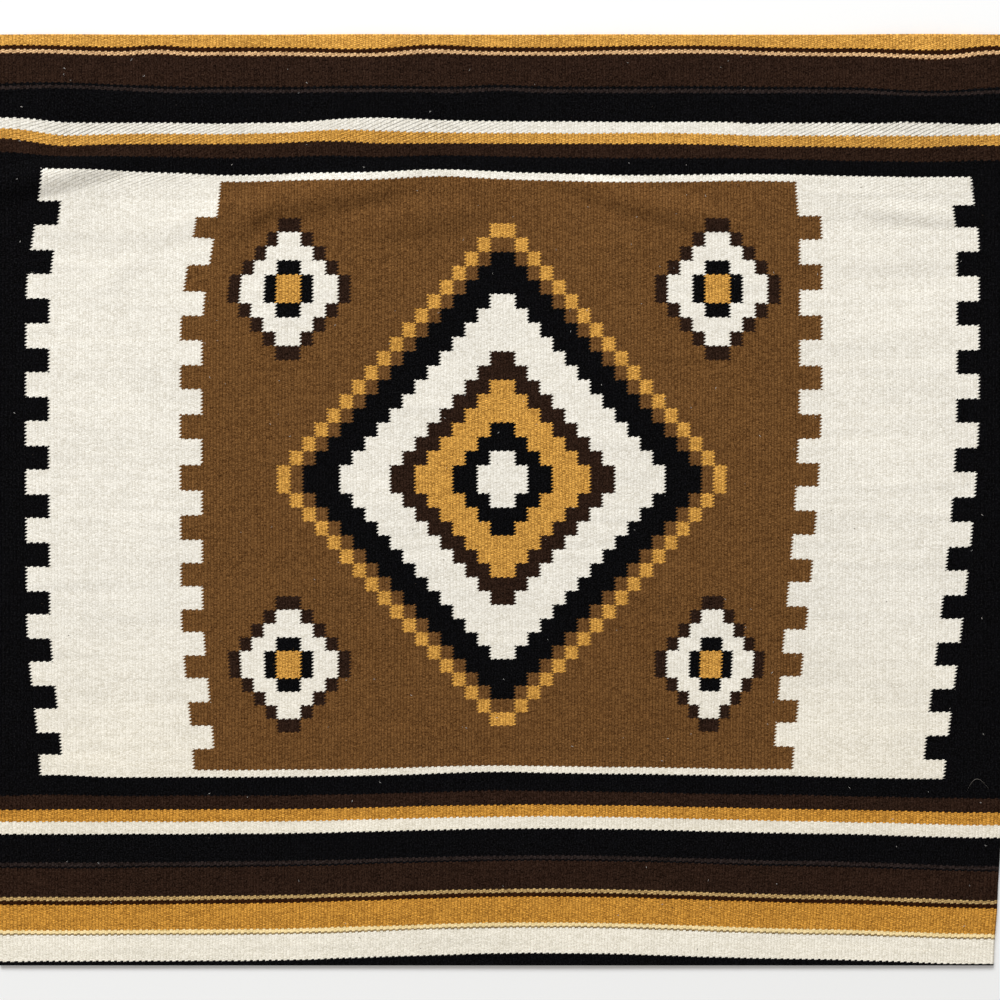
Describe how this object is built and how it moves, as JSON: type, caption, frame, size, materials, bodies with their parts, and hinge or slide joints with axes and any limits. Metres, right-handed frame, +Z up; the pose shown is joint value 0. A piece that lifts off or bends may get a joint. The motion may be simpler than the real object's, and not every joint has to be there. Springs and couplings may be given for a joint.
{
  "type": "zapotec rug",
  "caption": "Flat-woven wool tapestry rug with striped ends, a stepped-tooth panel and a stepped medallion, lying flat with low ripples.",
  "frame": {"origin": "centre of the footprint, on the floor that the rug lies on", "axes": "+Z up out of the right side of the weave, +X across the loom from selvedge to selvedge, +Y along the warp towards the rippled end"},
  "size_m": [0.805, 0.7452, 0.0074],
  "materials": {
    "wool_weave": "matt ribbed wool tapestry weave in brown, white, black, dark brown and gold"
  },
  "bodies": {
    "root": {"rug": "wool_weave"}
  },
  "joints": []
}
